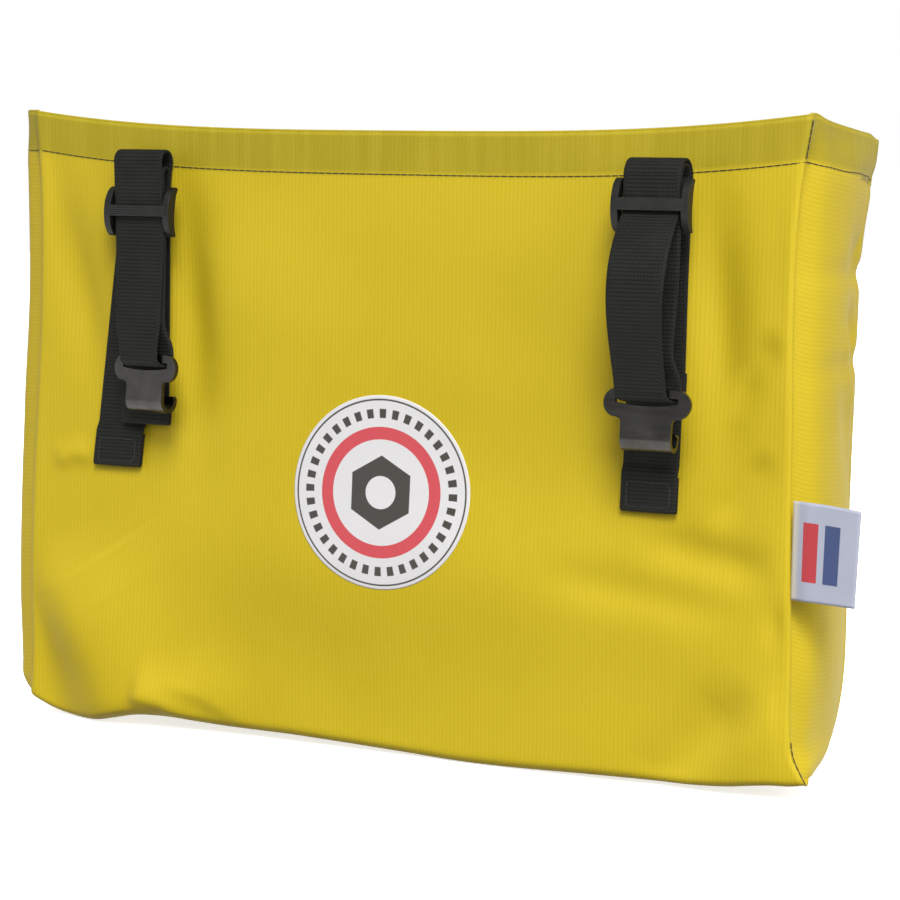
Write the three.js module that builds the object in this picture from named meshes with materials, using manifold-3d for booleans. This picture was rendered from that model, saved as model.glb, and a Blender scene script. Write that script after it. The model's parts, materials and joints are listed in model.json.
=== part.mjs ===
// Open-topped debris bag of coated nylon cloth, with two hanging straps on its front.
// Each strap is one length of 25 mm webbing that is sewn to the front, folds forward at
// the hem, runs down through a tri-glide, round the bar of a steel J hook, back up through
// the tri-glide and down again as a loose tail.
// Millimetres. +X is the bag's right as seen from the front, +Y is its back, +Z is up.
// The origin is on the flat of the bottom, midway between the sides.
import * as THREE from 'three';
import { mergeVertices } from 'three/addons/utils/BufferGeometryUtils.js';
import Module from 'manifold-3d';

const wasm = await Module();
wasm.setup();

// Bag
const bagWidth = 381;
const bagHeight = 288;
const bagDepth = 92;
const clothThickness = 1;
const frontBottomRadius = 8;
const backBottomRadius = 30;
const gap = 0.3;
const hemHeight = 20;
const threadThickness = 0.4;
const threadWidth = 0.9;
const threadGap = 0.2;
const bindingWidth = 9;
const bindingThickness = 1.6;

// Round label and side tag
const labelRadius = 44.45;
const labelCentre = { x: -4.5, z: 120 };
const labelThickness = 0.4;
const tag = { width: 22.5, height: 41, thickness: 1, top: 128.5, start: 191.6 };

// Webbing
const webWidth = 25.4;
const webThickness = 1.4;
const anchorFace = 0.9;
const endFoldLength = 14;
const endFoldEase = 5;
const tailHem = 8;
const tailClearance = 0.8;
const tailDivide = 0.07;
const endFoldRadius = 0.85;
const bightRadius = 3.1;
const hookDrop = 90;
const strandGap = 0.3;
const spreadLength = 20;
const stitchInset = 3;
const tackDrop = 2.5;

// Tri-glide
const glide = { width: 34, height: 22.5, corner: 4, rail: 3.1, outerBar: 3.5, centreBar: 5 };
const glideBarDepth = 2.2;
const glideBarRound = 0.8;
const glideClearance = 0.3;

// Steel hook
const hook = { plate: 2, ringWidth: 38.5, bar: 3.6, slotWidth: 27.8, slotHeight: 3.4 };
const hookLobe = 6.2;
const tongueWidth = 22.5;
const hookLength = 24.5;
const mouthRadius = 3.2;
const lipHeight = 7.8;

const straps = [
  {
    side: 'left',
    x: -125,
    foldHeight: 265.4,
    foldRadius: 4.9,
    lean: 5.5,
    loopShift: 8,
    anchorShift: -17,
    anchorLength: 142,
    tailLength: 120.5,
    tailHang: 0.87,
    tailTurnDrop: 5.8,
    glideDrop: 23,
    hookYaw: -13,
  },
  {
    side: 'right',
    x: 126,
    foldHeight: 262,
    foldRadius: 7.5,
    lean: 5,
    loopShift: 2,
    anchorShift: -3.5,
    anchorLength: 142.1,
    tailLength: 90.6,
    tailHang: 0.77,
    tailTurnDrop: 0,
    glideDrop: 12,
    hookYaw: 0,
  },
];

const front = -bagDepth / 2;
const back = bagDepth / 2;
const side = bagWidth / 2;

const cloth = new THREE.MeshStandardMaterial({ color: 0xdbc436, roughness: 0.6, metalness: 0 });
const webbing = new THREE.MeshStandardMaterial({ color: 0x2b2c27, roughness: 0.9, metalness: 0 });
const thread = new THREE.MeshStandardMaterial({ color: 0x1c1c1c, roughness: 0.8, metalness: 0 });
const binding = new THREE.MeshStandardMaterial({ color: 0x26261f, roughness: 0.9, metalness: 0 });
const plastic = new THREE.MeshStandardMaterial({ color: 0x31322d, roughness: 0.5, metalness: 0 });
const steel = new THREE.MeshStandardMaterial({ color: 0x1e1b12, roughness: 0.35, metalness: 0.8 });
const paper = new THREE.MeshStandardMaterial({ color: 0xdedcdc, roughness: 0.5, metalness: 0 });

const bag = new THREE.Group();

function node(name, geometry, material, parent = bag) {
  const mesh = new THREE.Mesh(geometry, material);
  mesh.name = name;
  parent.add(mesh);
  return mesh;
}

// An outline drawn in the Y-Z plane, given a width along X from low to high.
function sideways(shape, low, high) {
  const options = { depth: high - low, bevelEnabled: false, curveSegments: 5 };
  const geometry = new THREE.ExtrudeGeometry(shape, options);
  const x = new THREE.Vector3(1, 0, 0);
  const y = new THREE.Vector3(0, 1, 0);
  const z = new THREE.Vector3(0, 0, 1);
  geometry.applyMatrix4(new THREE.Matrix4().makeBasis(y, z, x));
  return geometry.translate(low, 0, 0);
}

// An outline drawn in the X-Z plane, given a thickness forward from the plane y = rear.
function forward(shape, rear, thickness, curveSegments = 8) {
  const options = { depth: thickness, bevelEnabled: false, curveSegments };
  const geometry = new THREE.ExtrudeGeometry(shape, options);
  return geometry.rotateX(Math.PI / 2).translate(0, rear, 0);
}

function block(low, high) {
  const size = high.map((value, i) => value - low[i]);
  const middle = high.map((value, i) => (value + low[i]) / 2);
  return new THREE.BoxGeometry(...size).translate(...middle);
}

function toSolid(geometry) {
  const bare = geometry.clone();
  bare.deleteAttribute('normal');
  bare.deleteAttribute('uv');
  const welded = mergeVertices(bare, 1e-4);
  return new wasm.Manifold(new wasm.Mesh({
    numProp: 3,
    vertProperties: welded.attributes.position.array,
    triVerts: new Uint32Array(welded.index.array),
  }));
}

function toGeometry(solid) {
  const mesh = solid.getMesh();
  const geometry = new THREE.BufferGeometry();
  geometry.setAttribute('position', new THREE.BufferAttribute(mesh.vertProperties, 3));
  geometry.setIndex(new THREE.BufferAttribute(mesh.triVerts, 1));
  geometry.computeVertexNormals();
  return geometry;
}

function join(geometries) {
  return geometries.map(toSolid).reduce((whole, part) => whole.add(part));
}

// The bag's side profile, drawn in from its outer face by inset: down the front from
// frontTop, round the front fold, along the bottom, round the back and up to backTop.
function wrapLine(inset, frontTop, backTop) {
  const line = new THREE.Path();
  line.moveTo(front + inset, frontTop);
  line.lineTo(front + inset, frontBottomRadius);
  line.absarc(front + frontBottomRadius, frontBottomRadius, frontBottomRadius - inset,
    Math.PI, 1.5 * Math.PI, false);
  line.absarc(back - backBottomRadius, backBottomRadius, backBottomRadius - inset,
    1.5 * Math.PI, 2 * Math.PI, false);
  line.lineTo(back - inset, backTop);
  return line.getPoints(8);
}

// A layer of the wrap between two insets.
function wrapLayer(outer, inner, frontTop, backTop) {
  const inside = wrapLine(inner, frontTop, backTop).reverse();
  return new THREE.Shape([...wrapLine(outer, frontTop, backTop), ...inside]);
}

function addPanels() {
  const reach = side - clothThickness - gap;
  const frontLow = frontBottomRadius + gap;
  const backLow = backBottomRadius + gap;
  node('front_panel', block([-reach, front, frontLow],
    [reach, front + clothThickness, bagHeight]), cloth);
  node('back_panel', block([-reach, back - clothThickness, backLow],
    [reach, back, bagHeight]), cloth);
  const trough = wrapLayer(0, clothThickness, frontBottomRadius, backBottomRadius);
  node('bottom_panel', sideways(trough, -reach, reach), cloth);
  const outline = new THREE.Shape(wrapLine(0, bagHeight, bagHeight));
  node('left_gusset', sideways(outline, -side, -side + clothThickness), cloth);
  node('right_gusset', sideways(outline, side - clothThickness, side), cloth);
}

// The turned-in hem inside the mouth: a strip on each wall.
function addHems() {
  const low = bagHeight - hemHeight;
  const outer = clothThickness + gap;
  const inner = outer + clothThickness;
  const reach = side - outer;
  node('front_hem', block([-reach, front + outer, low], [reach, front + inner, bagHeight]), cloth);
  node('back_hem', block([-reach, back - inner, low], [reach, back - outer, bagHeight]), cloth);
  const end = back - inner - gap;
  node('left_hem', block([-reach, -end, low], [-side + inner, end, bagHeight]), cloth);
  node('right_hem', block([side - inner, -end, low], [reach, end, bagHeight]), cloth);
}

function rectangle(halfX, halfY) {
  return [
    new THREE.Vector2(-halfX, -halfY),
    new THREE.Vector2(halfX, -halfY),
    new THREE.Vector2(halfX, halfY),
    new THREE.Vector2(-halfX, halfY),
  ];
}

// One run of thread round the outside of the mouth, at the foot of the hem.
function addHemStitching() {
  const outer = threadGap + threadThickness;
  const ring = new THREE.Shape(rectangle(side + outer, back + outer));
  ring.holes.push(new THREE.Path(rectangle(side + threadGap, back + threadGap).reverse()));
  const geometry = new THREE.ExtrudeGeometry(ring, { depth: threadWidth, bevelEnabled: false });
  node('hem_stitching', geometry.translate(0, 0, bagHeight - hemHeight - threadWidth), thread);
}

// Tape bound over the seam between each gusset and the wrap, inside the bag.
function addBindings() {
  const outer = clothThickness + gap;
  const top = bagHeight - hemHeight - gap;
  const strip = wrapLayer(outer, outer + bindingThickness, top, top);
  const high = side - clothThickness - gap;
  node('left_seam_binding', sideways(strip, -high, -high + bindingWidth), binding);
  node('right_seam_binding', sideways(strip, high - bindingWidth, high), binding);
}

function addLabels() {
  const disc = new THREE.Shape();
  disc.absarc(labelCentre.x, labelCentre.z, labelRadius, 0, 2 * Math.PI, false);
  node('round_label', forward(disc, front - gap, labelThickness, 48), paper);
  node('side_tag', block([tag.start, front - tag.thickness, tag.top - tag.height],
    [tag.start + tag.width, front, tag.top]), paper);
}

// The outline of a strip of the given thickness that follows a centreline.
function stripShape(line, thickness) {
  const points = line.getPoints(8);
  const left = [];
  const right = [];
  points.forEach((point, i) => {
    const before = points[Math.max(i - 1, 0)];
    const after = points[Math.min(i + 1, points.length - 1)];
    const into = point.clone().sub(before).normalize();
    const out = after.clone().sub(point).normalize();
    const along = into.add(out).normalize();
    const across = new THREE.Vector2(-along.y, along.x).multiplyScalar(thickness / 2);
    left.push(point.clone().add(across));
    right.unshift(point.clone().sub(across));
  });
  return new THREE.Shape([...left, ...right]);
}

// Webbing across the strap's width, drawn as a centreline in the Y-Z plane.
function web(line) {
  return sideways(stripShape(line, webThickness), -webWidth / 2, webWidth / 2);
}

// The tail hangs behind a line that slopes back from the fold.
function onTail(y, drop) {
  return y > tailDivide * drop;
}

// Moves each point sideways in proportion to how far it hangs below the fold.
function shear(geometry, shiftPerDrop) {
  const position = geometry.attributes.position;
  for (let i = 0; i < position.count; i += 1) {
    position.setX(i, position.getX(i) - position.getZ(i) * shiftPerDrop);
  }
  return geometry;
}

// Moves the loop sideways as it hangs down. The tail hangs straight from its turn.
function shearLoop(geometry, shiftPerDrop, tailTurnDrop) {
  const position = geometry.attributes.position;
  for (let i = 0; i < position.count; i += 1) {
    const drop = -position.getZ(i);
    const moved = onTail(position.getY(i), drop) ? Math.min(drop, tailTurnDrop) : drop;
    position.setX(i, position.getX(i) + moved * shiftPerDrop);
  }
  return geometry;
}

// Turns the bottom of the loop about the upright line through the hook's bar.
function twist(geometry, centreY, yaw) {
  const position = geometry.attributes.position;
  for (let i = 0; i < position.count; i += 1) {
    const drop = -position.getZ(i);
    const share = THREE.MathUtils.smoothstep(drop, hookDrop - spreadLength, hookDrop);
    const turned = onTail(position.getY(i), drop) ? 0 : share;
    const angle = turned * THREE.MathUtils.degToRad(yaw);
    const x = position.getX(i);
    const y = position.getY(i) - centreY;
    position.setX(i, x * Math.cos(angle) - y * Math.sin(angle));
    position.setY(i, centreY + x * Math.sin(angle) + y * Math.cos(angle));
  }
  return geometry;
}

// The sewn strip: its lower end is folded under, and its upper end reaches the fold.
function anchorLine(strap) {
  const near = strap.foldRadius;
  const far = near - 2 * endFoldRadius;
  const low = -strap.anchorLength + webThickness / 2 + endFoldRadius;
  const line = new THREE.Path();
  line.moveTo(near, low + endFoldLength);
  line.lineTo(near, low);
  line.absarc((near + far) / 2, low, endFoldRadius, 0, -Math.PI, true);
  const easeLow = low + endFoldLength + gap;
  const easeMiddle = easeLow + endFoldEase / 2;
  line.lineTo(far, easeLow);
  line.bezierCurveTo(far, easeMiddle, near, easeMiddle, near, easeLow + endFoldEase);
  line.lineTo(near, -gap);
  return line;
}

// The half turn of webbing over the hem that joins the sewn strip to the loop.
function foldLine(strap) {
  const gapAngle = gap / strap.foldRadius;
  const lean = THREE.MathUtils.degToRad(strap.lean);
  const line = new THREE.Path();
  line.absarc(0, 0, strap.foldRadius, 0, Math.PI - lean - gapAngle, false);
  return line;
}

// Down the front of the loop, round the hook's bar, up through the tri-glide, over and
// down as the tail, with the tail's end turned up.
function loopLine(strap) {
  const frontY = -strap.foldRadius;
  const rearY = frontY + 2 * bightRadius;
  const upperY = frontY + webThickness + strandGap;
  const tailY = strap.foldRadius - webThickness - tailClearance;
  const tailRadius = (tailY - upperY) / 2;
  const tailTop = -strap.tailTurnDrop;
  const spread = -hookDrop + spreadLength;
  const slope = strap.tailHang * Math.tan(THREE.MathUtils.degToRad(strap.lean));
  const tailLow = -strap.tailLength + webThickness / 2 + endFoldRadius;
  const tailEndY = tailY + (tailTop - tailLow) * slope;
  const line = new THREE.Path();
  line.moveTo(frontY, 0);
  line.lineTo(frontY, spread);
  line.bezierCurveTo(frontY, spread - spreadLength / 2, frontY, spread - spreadLength / 2,
    frontY, -hookDrop);
  line.absarc(frontY + bightRadius, -hookDrop, bightRadius, Math.PI, 2 * Math.PI, false);
  line.bezierCurveTo(rearY, -hookDrop + spreadLength / 2, upperY, spread - spreadLength / 2,
    upperY, spread);
  line.lineTo(upperY, tailTop);
  line.absarc(upperY + tailRadius, tailTop, tailRadius, Math.PI, 0, true);
  line.lineTo(tailEndY, tailLow);
  line.absarc(tailEndY + endFoldRadius, tailLow, endFoldRadius, Math.PI, 2 * Math.PI, false);
  line.lineTo(tailEndY + 2 * endFoldRadius, tailLow + tailHem);
  return line;
}

// A frame of thread lying on webbing: the box stitch that holds the strip's lower end.
function boxStitch(strap, faceY) {
  const halfWidth = webWidth / 2 - stitchInset;
  const halfHeight = endFoldLength / 2 - stitchInset;
  const ring = new THREE.Shape(rectangle(halfWidth, halfHeight));
  const inner = rectangle(halfWidth - threadWidth, halfHeight - threadWidth);
  ring.holes.push(new THREE.Path(inner.reverse()));
  const middle = -strap.anchorLength + endFoldLength / 2 + webThickness;
  return forward(ring, faceY - threadGap, threadThickness).translate(0, 0, middle);
}

// A straight row of thread across the webbing.
function threadRow(faceY, z) {
  const half = webWidth / 2 - stitchInset;
  return block([-half, faceY - threadGap - threadThickness, z],
    [half, faceY - threadGap, z + threadWidth]);
}

// One side rail of the tri-glide, seen from its end: flat at the rear, and bowed forward in
// its middle as far as the centre bar.
function glideRail(frontY, rearY) {
  const half = glide.height / 2;
  const rail = new THREE.Shape();
  rail.moveTo(rearY - glideBarDepth, -half);
  rail.lineTo(rearY, -half);
  rail.lineTo(rearY, half);
  rail.lineTo(rearY - glideBarDepth, half);
  rail.quadraticCurveTo(frontY, 0.8 * half, frontY, 0);
  rail.quadraticCurveTo(frontY, -0.8 * half, rearY - glideBarDepth, -half);
  return rail;
}

// A bar across the tri-glide, with its centre at the given depth and height.
function glideBar(y, z, height) {
  const bar = roundedRectangle(glideBarDepth, height, glideBarRound);
  const reach = glide.width / 2 - glide.rail / 2;
  return sideways(bar, -reach, reach).translate(0, y, z);
}

function roundedRectangle(width, height, radius) {
  const shape = new THREE.Shape();
  const x = width / 2 - radius;
  const y = height / 2 - radius;
  shape.absarc(x, -y, radius, -Math.PI / 2, 0, false);
  shape.absarc(x, y, radius, 0, Math.PI / 2, false);
  shape.absarc(-x, y, radius, Math.PI / 2, Math.PI, false);
  shape.absarc(-x, -y, radius, Math.PI, 1.5 * Math.PI, false);
  return shape;
}

// The tri-glide, with y = 0 on the centreline of the loop's front strand. The strands pass
// behind the centre bar and in front of the two outer bars.
function glideGeometry() {
  const frontY = -(webThickness / 2 + glideClearance + glideBarDepth / 2);
  const rearY = 1.5 * webThickness + strandGap + glideClearance + glideBarDepth / 2;
  const outerZ = glide.height / 2 - glide.outerBar / 2;
  const rail = glideRail(frontY - glideBarDepth / 2, rearY + glideBarDepth / 2);
  const half = glide.width / 2;
  const whole = join([
    sideways(rail, -half, -half + glide.rail),
    sideways(rail, half - glide.rail, half),
    glideBar(frontY, 0, glide.centreBar),
    glideBar(rearY, outerZ, glide.outerBar),
    glideBar(rearY, -outerZ, glide.outerBar),
  ]);
  const outline = roundedRectangle(glide.width, glide.height, glide.corner);
  const blank = forward(outline, 2 * rearY, 4 * rearY);
  return toGeometry(whole.intersect(toSolid(blank)));
}

// The hook's flat plate: a bar above a slot, two round shoulders and a tongue.
function hookPlate() {
  const plate = new THREE.Shape();
  const lobeX = hook.ringWidth / 2 - hookLobe;
  const lobeZ = -(hookLobe - hook.bar / 2);
  const tongue = tongueWidth / 2;
  const bend = -hookLength + mouthRadius + hook.plate;
  plate.moveTo(-tongue, bend);
  plate.lineTo(tongue, bend);
  plate.lineTo(tongue, lobeZ - hookLobe - 1);
  plate.quadraticCurveTo(tongue, lobeZ - hookLobe + 0.4, lobeX + 1, lobeZ - hookLobe + 0.1);
  plate.absarc(lobeX, lobeZ, hookLobe, -0.45 * Math.PI, Math.PI / 2, false);
  plate.absarc(-lobeX, lobeZ, hookLobe, Math.PI / 2, 1.45 * Math.PI, false);
  plate.quadraticCurveTo(-tongue, lobeZ - hookLobe + 0.4, -tongue, lobeZ - hookLobe - 1);
  const slot = new THREE.Path();
  const top = -hook.bar / 2;
  const end = hook.slotWidth / 2;
  slot.moveTo(-end, top);
  slot.lineTo(end, top);
  slot.lineTo(end, top - hook.slotHeight + 1);
  slot.quadraticCurveTo(0, top - hook.slotHeight - 1, -end, top - hook.slotHeight + 1);
  plate.holes.push(slot);
  return forward(plate, hook.plate / 2, hook.plate);
}

// The J: the tongue turns back under itself and rises again as a short lip.
function hookTurn() {
  const middleY = mouthRadius + hook.plate / 2;
  const bend = -hookLength + mouthRadius + hook.plate;
  const line = new THREE.Path();
  line.moveTo(0, bend + 2);
  line.lineTo(0, bend);
  line.absarc(middleY, bend, middleY, Math.PI, 2 * Math.PI, false);
  line.lineTo(2 * middleY, -hookLength + lipHeight);
  return sideways(stripShape(line, hook.plate), -tongueWidth / 2, tongueWidth / 2);
}

function addStrap(strap) {
  const name = (part) => `${strap.side}_${part}`;
  const axisY = front - anchorFace - webThickness / 2 - strap.foldRadius;
  const anchorSlope = strap.anchorShift / strap.anchorLength;
  const loopSlope = strap.loopShift / hookDrop;

  const sewn = new THREE.Group();
  sewn.position.set(strap.x, axisY, strap.foldHeight);
  bag.add(sewn);
  const anchorFront = strap.foldRadius - webThickness / 2;
  const endFront = anchorFront - 2 * endFoldRadius;
  node(name('anchor_webbing'), shear(web(anchorLine(strap)), anchorSlope), webbing, sewn);
  node(name('strap_fold'), web(foldLine(strap)), webbing, sewn);
  node(name('box_stitch'), shear(boxStitch(strap, endFront), anchorSlope), thread, sewn);
  node(name('hem_tack'), shear(threadRow(anchorFront, -tackDrop), anchorSlope), thread, sewn);

  const loop = new THREE.Group();
  loop.rotation.x = -THREE.MathUtils.degToRad(strap.lean);
  sewn.add(loop);
  const pivotY = -strap.foldRadius + bightRadius;
  const strip = twist(web(loopLine(strap)), pivotY, strap.hookYaw);
  node(name('strap_webbing'), shearLoop(strip, loopSlope, strap.tailTurnDrop), webbing, loop);

  const slide = node(name('tri_glide'), glideGeometry(), plastic, loop);
  slide.position.set(strap.glideDrop * loopSlope, -strap.foldRadius, -strap.glideDrop);

  const hanger = node(name('hook'), toGeometry(join([hookPlate(), hookTurn()])), steel, loop);
  hanger.position.set(strap.loopShift, pivotY, -hookDrop);
  hanger.rotation.z = THREE.MathUtils.degToRad(strap.hookYaw);
}

addPanels();
addHems();
addHemStitching();
addBindings();
addLabels();
straps.forEach(addStrap);

export default bag;
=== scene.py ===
import json
import math

import bmesh
import bpy
import numpy as np
from mathutils import Matrix, Vector


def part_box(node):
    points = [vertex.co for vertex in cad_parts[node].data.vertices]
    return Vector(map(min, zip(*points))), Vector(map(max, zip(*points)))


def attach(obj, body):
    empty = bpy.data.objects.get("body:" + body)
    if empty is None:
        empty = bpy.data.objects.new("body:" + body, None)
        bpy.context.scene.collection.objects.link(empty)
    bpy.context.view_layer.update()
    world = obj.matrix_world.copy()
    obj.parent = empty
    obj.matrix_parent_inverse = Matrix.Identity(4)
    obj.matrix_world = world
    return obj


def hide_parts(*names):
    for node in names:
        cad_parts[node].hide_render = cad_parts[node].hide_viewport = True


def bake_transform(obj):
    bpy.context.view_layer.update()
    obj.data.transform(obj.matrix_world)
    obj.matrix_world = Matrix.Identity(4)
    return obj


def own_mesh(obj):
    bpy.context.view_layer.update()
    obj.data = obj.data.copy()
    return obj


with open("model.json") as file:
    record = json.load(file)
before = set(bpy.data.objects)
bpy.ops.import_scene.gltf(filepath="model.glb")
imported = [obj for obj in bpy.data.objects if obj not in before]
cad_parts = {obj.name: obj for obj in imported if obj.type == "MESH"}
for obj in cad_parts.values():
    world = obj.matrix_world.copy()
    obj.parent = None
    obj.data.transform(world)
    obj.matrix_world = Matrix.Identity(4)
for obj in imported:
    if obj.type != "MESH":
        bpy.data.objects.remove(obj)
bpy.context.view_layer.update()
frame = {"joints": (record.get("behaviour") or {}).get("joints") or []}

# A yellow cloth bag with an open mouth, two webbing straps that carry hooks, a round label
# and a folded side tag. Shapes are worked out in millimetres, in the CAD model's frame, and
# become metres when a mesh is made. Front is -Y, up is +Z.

MM = 0.001


def box(node):
    low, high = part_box(node)
    return np.array(low) / MM, np.array(high) / MM


joints = {joint["name"]: joint for joint in frame["joints"]}
panel_low, panel_high = box("front_panel")
FRONT = panel_low[1]
TOP = panel_high[2]
HEM = TOP - box("front_hem")[0][2]

CLOTH = 0.7
FOLD_RADIUS = 0.9
EDGE_LIFT = 1.4
LOWEST = 0.3

# The wrap's numbers of rows: down the front, round its lower edge, along half the bottom and
# round the corner at the foot of the back. Then its columns, and those of each side. The hem's
# stitches lie within the first rows.
FRONT_ROWS = 150
TURN_ROWS = 8
BOTTOM_ROWS = 18
CORNER_ROWS = 24
COLUMNS = 200
GUSSET_COLUMNS = 44
STITCHED_ROWS = 60


# ---- small tools


def smoothstep(low, high, value):
    t = np.clip((value - low) / (high - low), 0.0, 1.0)
    return t * t * (3.0 - 2.0 * t)


def mix(a, b, t):
    return a + (b - a) * t


def through(knots, value):
    """A smooth curve through (position, height) knots. Beyond the end knots it stays level."""
    at = np.array([knot[0] for knot in knots], float)
    height = np.array([knot[1] for knot in knots], float)
    slope = np.gradient(height, at)
    value = np.clip(np.asarray(value, float), at[0], at[-1])
    i = np.clip(np.searchsorted(at, value) - 1, 0, len(at) - 2)
    span = at[i + 1] - at[i]
    t = (value - at[i]) / span
    low = height[i] * (1 + 2 * t) + slope[i] * span * t
    high = height[i + 1] * (3 - 2 * t) - slope[i + 1] * span * (1 - t)
    return (1 - t) ** 2 * low + t**2 * high


def grid_faces(rows, columns, close=False):
    across = columns if close else columns - 1
    r, c = np.meshgrid(np.arange(rows - 1), np.arange(across), indexing="ij")
    d = (c + 1) % columns
    corners = (r * columns + c, r * columns + d, (r + 1) * columns + d, (r + 1) * columns + c)
    return np.stack(corners, -1).reshape(-1, 4)


def path_length(points):
    """Length along a polyline, or along each column of a grid, from its first point."""
    step = np.linalg.norm(np.diff(points, axis=0), axis=-1)
    return np.concatenate([np.zeros_like(step[:1]), np.cumsum(step, axis=0)])


def link(name, data):
    made = bpy.data.objects.new(name, data)
    bpy.context.collection.objects.link(made)
    return made


def make_object(name, points, faces, weave=None):
    mesh = bpy.data.meshes.new(name)
    mesh.from_pydata((np.asarray(points).reshape(-1, 3) * MM).tolist(), [], [list(f) for f in faces])
    mesh.shade_smooth()
    if weave is not None:
        attribute = mesh.attributes.new("weave", "FLOAT_VECTOR", "POINT")
        attribute.data.foreach_set("vector", np.asarray(weave, np.float32).ravel())
    return link(name, mesh)


def thicken(piece, thickness):
    """The mesh is the outer face, and the thickness lies inside it."""
    solid = piece.modifiers.new("thickness", "SOLIDIFY")
    solid.thickness = thickness * MM
    solid.offset = -1


def cloth_object(name, grid, weave, flip=False, thickness=CLOTH):
    """A grid of points as cloth: the grid is its outer face."""
    faces = grid_faces(*grid.shape[:2])
    made = make_object(name, grid, faces if flip else faces[:, ::-1], weave)
    thicken(made, thickness)
    return made


def sample(grid, row, column):
    """Points of a grid at fractional rows and columns."""
    rows, columns = grid.shape[:2]
    row, column = np.broadcast_arrays(np.asarray(row, float), np.asarray(column, float))
    r = np.clip(np.floor(row).astype(int), 0, rows - 2)
    c = np.clip(np.floor(column).astype(int), 0, columns - 2)
    s = (row - r)[..., None]
    t = (column - c)[..., None]
    upper = mix(grid[r, c], grid[r, c + 1], t)
    lower = mix(grid[r + 1, c], grid[r + 1, c + 1], t)
    return mix(upper, lower, s)


def normals_of(grid, flip=False):
    along = np.gradient(grid, axis=0)
    across = np.gradient(grid, axis=1)
    normal = np.cross(across, along) if flip else np.cross(along, across)
    return normal / np.maximum(np.linalg.norm(normal, axis=-1, keepdims=True), 1e-9)


# ---- the bag's cloth

# The sewn corners, as (height, x). They draw in below the hem and flare at both ends.
LEFT_SEAM = ((0, -194), (12, -193.2), (30, -192.3), (60, -192.6), (112, -191.2), (153, -188.6),
             (181, -186.9), (208, -186), (265, -186.7), (288, -189))
RIGHT_SEAM = ((0, 195), (9, 193.4), (20, 188), (30, 186.6), (60, 186), (125, 184.2),
              (160, 183.7), (208, 183), (244, 183.6), (267, 185.8), (288, 189))

# The lower edge of the front, as (x, height), before EDGE_LIFT.
LOWER_EDGE = ((-195, 6.9), (-182, 1.6), (-168, -1), (-154, -1), (-146, 0.8), (-133, 3.6),
              (-120, 4.2), (-109, 3.8), (-99, 3), (-46, 1.8), (5, 0), (30, -1), (102, 0.3),
              (148, 1.4), (159, 2.4), (170, 4), (178, 5), (187, 5.6), (195, 7))

# The back's distance behind the middle, as (height, y), at its corners and at its middle.
BACK_EDGE = ((0, 28), (54, 29), (143, 30.5), (169, 32), (213, 34), (242, 38), (267, 44.5),
             (281, 46.5))
BACK_MIDDLE = ((0, 38), (120, 37), (210, 39), (281, 44))

# Sizes in the middle of the wrap and at its ends: how far its top edges sag, the radius at
# the foot of the front, the height and the radius of the corner at the foot of the back.
FRONT_SAG = (8.3, 0.1)
BACK_SAG = (12, 7)
FRONT_TURN = (5.0, 3.5)
BACK_LIFT = (2.0, 9.0)
BACK_CORNER = (34.0, 45.0)

LOWER_EDGE_REACH = 194
CORNER_DROP = 2.5
BACK_HALF_WIDTH = 187.0
BACK_FLARE = 3.5
RIGHT_BACK_EXTRA = 2.2

# Where folds pull in the right back corner, as (height, depth).
BACK_DENTS = ((261, 1.2), (221, 2), (183, 1.5))

# Folds of the front, as (line, height, width to its left, to its right, fade in, fade out).
FRONT_FOLDS = (
    (((-184, 86), (-173, 66), (-160, 49), (-149, 28), (-142, 10), (-139, -4)), 9.5, 23, 40, 0.5, 0),
    (((-134, 17), (-116, 14), (-96, 4)), 3.4, 4, 13, 0.2, 0.5),
    (((-118, 26), (-96, 19), (-66, 4)), 2.0, 5, 16, 0.3, 0.5),
    (((172, 50), (160, 35), (146, 22), (130, 6), (126, -2)), -3.6, 14, 9, 0.4, 0),
    (((112, 108), (140, 104), (182, 96)), -2.4, 9, 9, 0.4, 0.3),
    (((60, 92), (120, 84), (176, 76)), -1.8, 9, 10, 0.4, 0.4),
    (((176, 150), (160, 128), (148, 112)), -1.8, 5, 7, 0.3, 0.4),
    (((178, 200), (166, 182), (158, 160)), -1.8, 5, 7, 0.3, 0.4),
    (((-180, 122), (-166, 128), (-152, 126)), 1.6, 4, 6, 0.3, 0.4),
)

# Soft rises and hollows of the front, as (centre, half size, height, tilt).
FRONT_SWELLS = (
    ((-182, 30), (12, 30), -3, 12),
    ((170, 26), (11, 24), 2.6, -30),
    ((181, 76), (7, 10), -1.6, 0),
    ((-164, 206), (10, 48), -4.2, 14),
    ((-103, 196), (10, 48), -4.4, 4),
    ((152, 200), (10, 46), -4.2, 4),
    ((-60, 150), (70, 60), 0.8, 0),
    ((15, 84), (115, 36), 4.4, 0),
)

BELLY = 6.5
RIGHT_TUCK = 4.2
LEFT_ROLL = 10.6

# Folds of the left (-1) and right (1) sides, as for the front, with lines of (y, z) points.
SIDE_FOLDS = {
    -1: ((((34, 200), (14, 192), (-10, 202)), -2.4, 8, 8, 0.3, 0.4),
         (((30, 110), (4, 122), (-16, 112)), -1.8, 10, 10, 0.3, 0.4)),
    1: ((((40, 236), (22, 229), (0, 236)), -2.8, 7, 9, 0.3, 0.5),
        (((34, 188), (20, 194), (6, 214)), -2.6, 8, 7, 0.3, 0.5),
        (((30, 158), (12, 176), (-2, 206)), 1.8, 8, 8, 0.3, 0.4),
        (((26, 120), (8, 150), (0, 178)), -1.2, 10, 10, 0.3, 0.4)),
}


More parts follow.
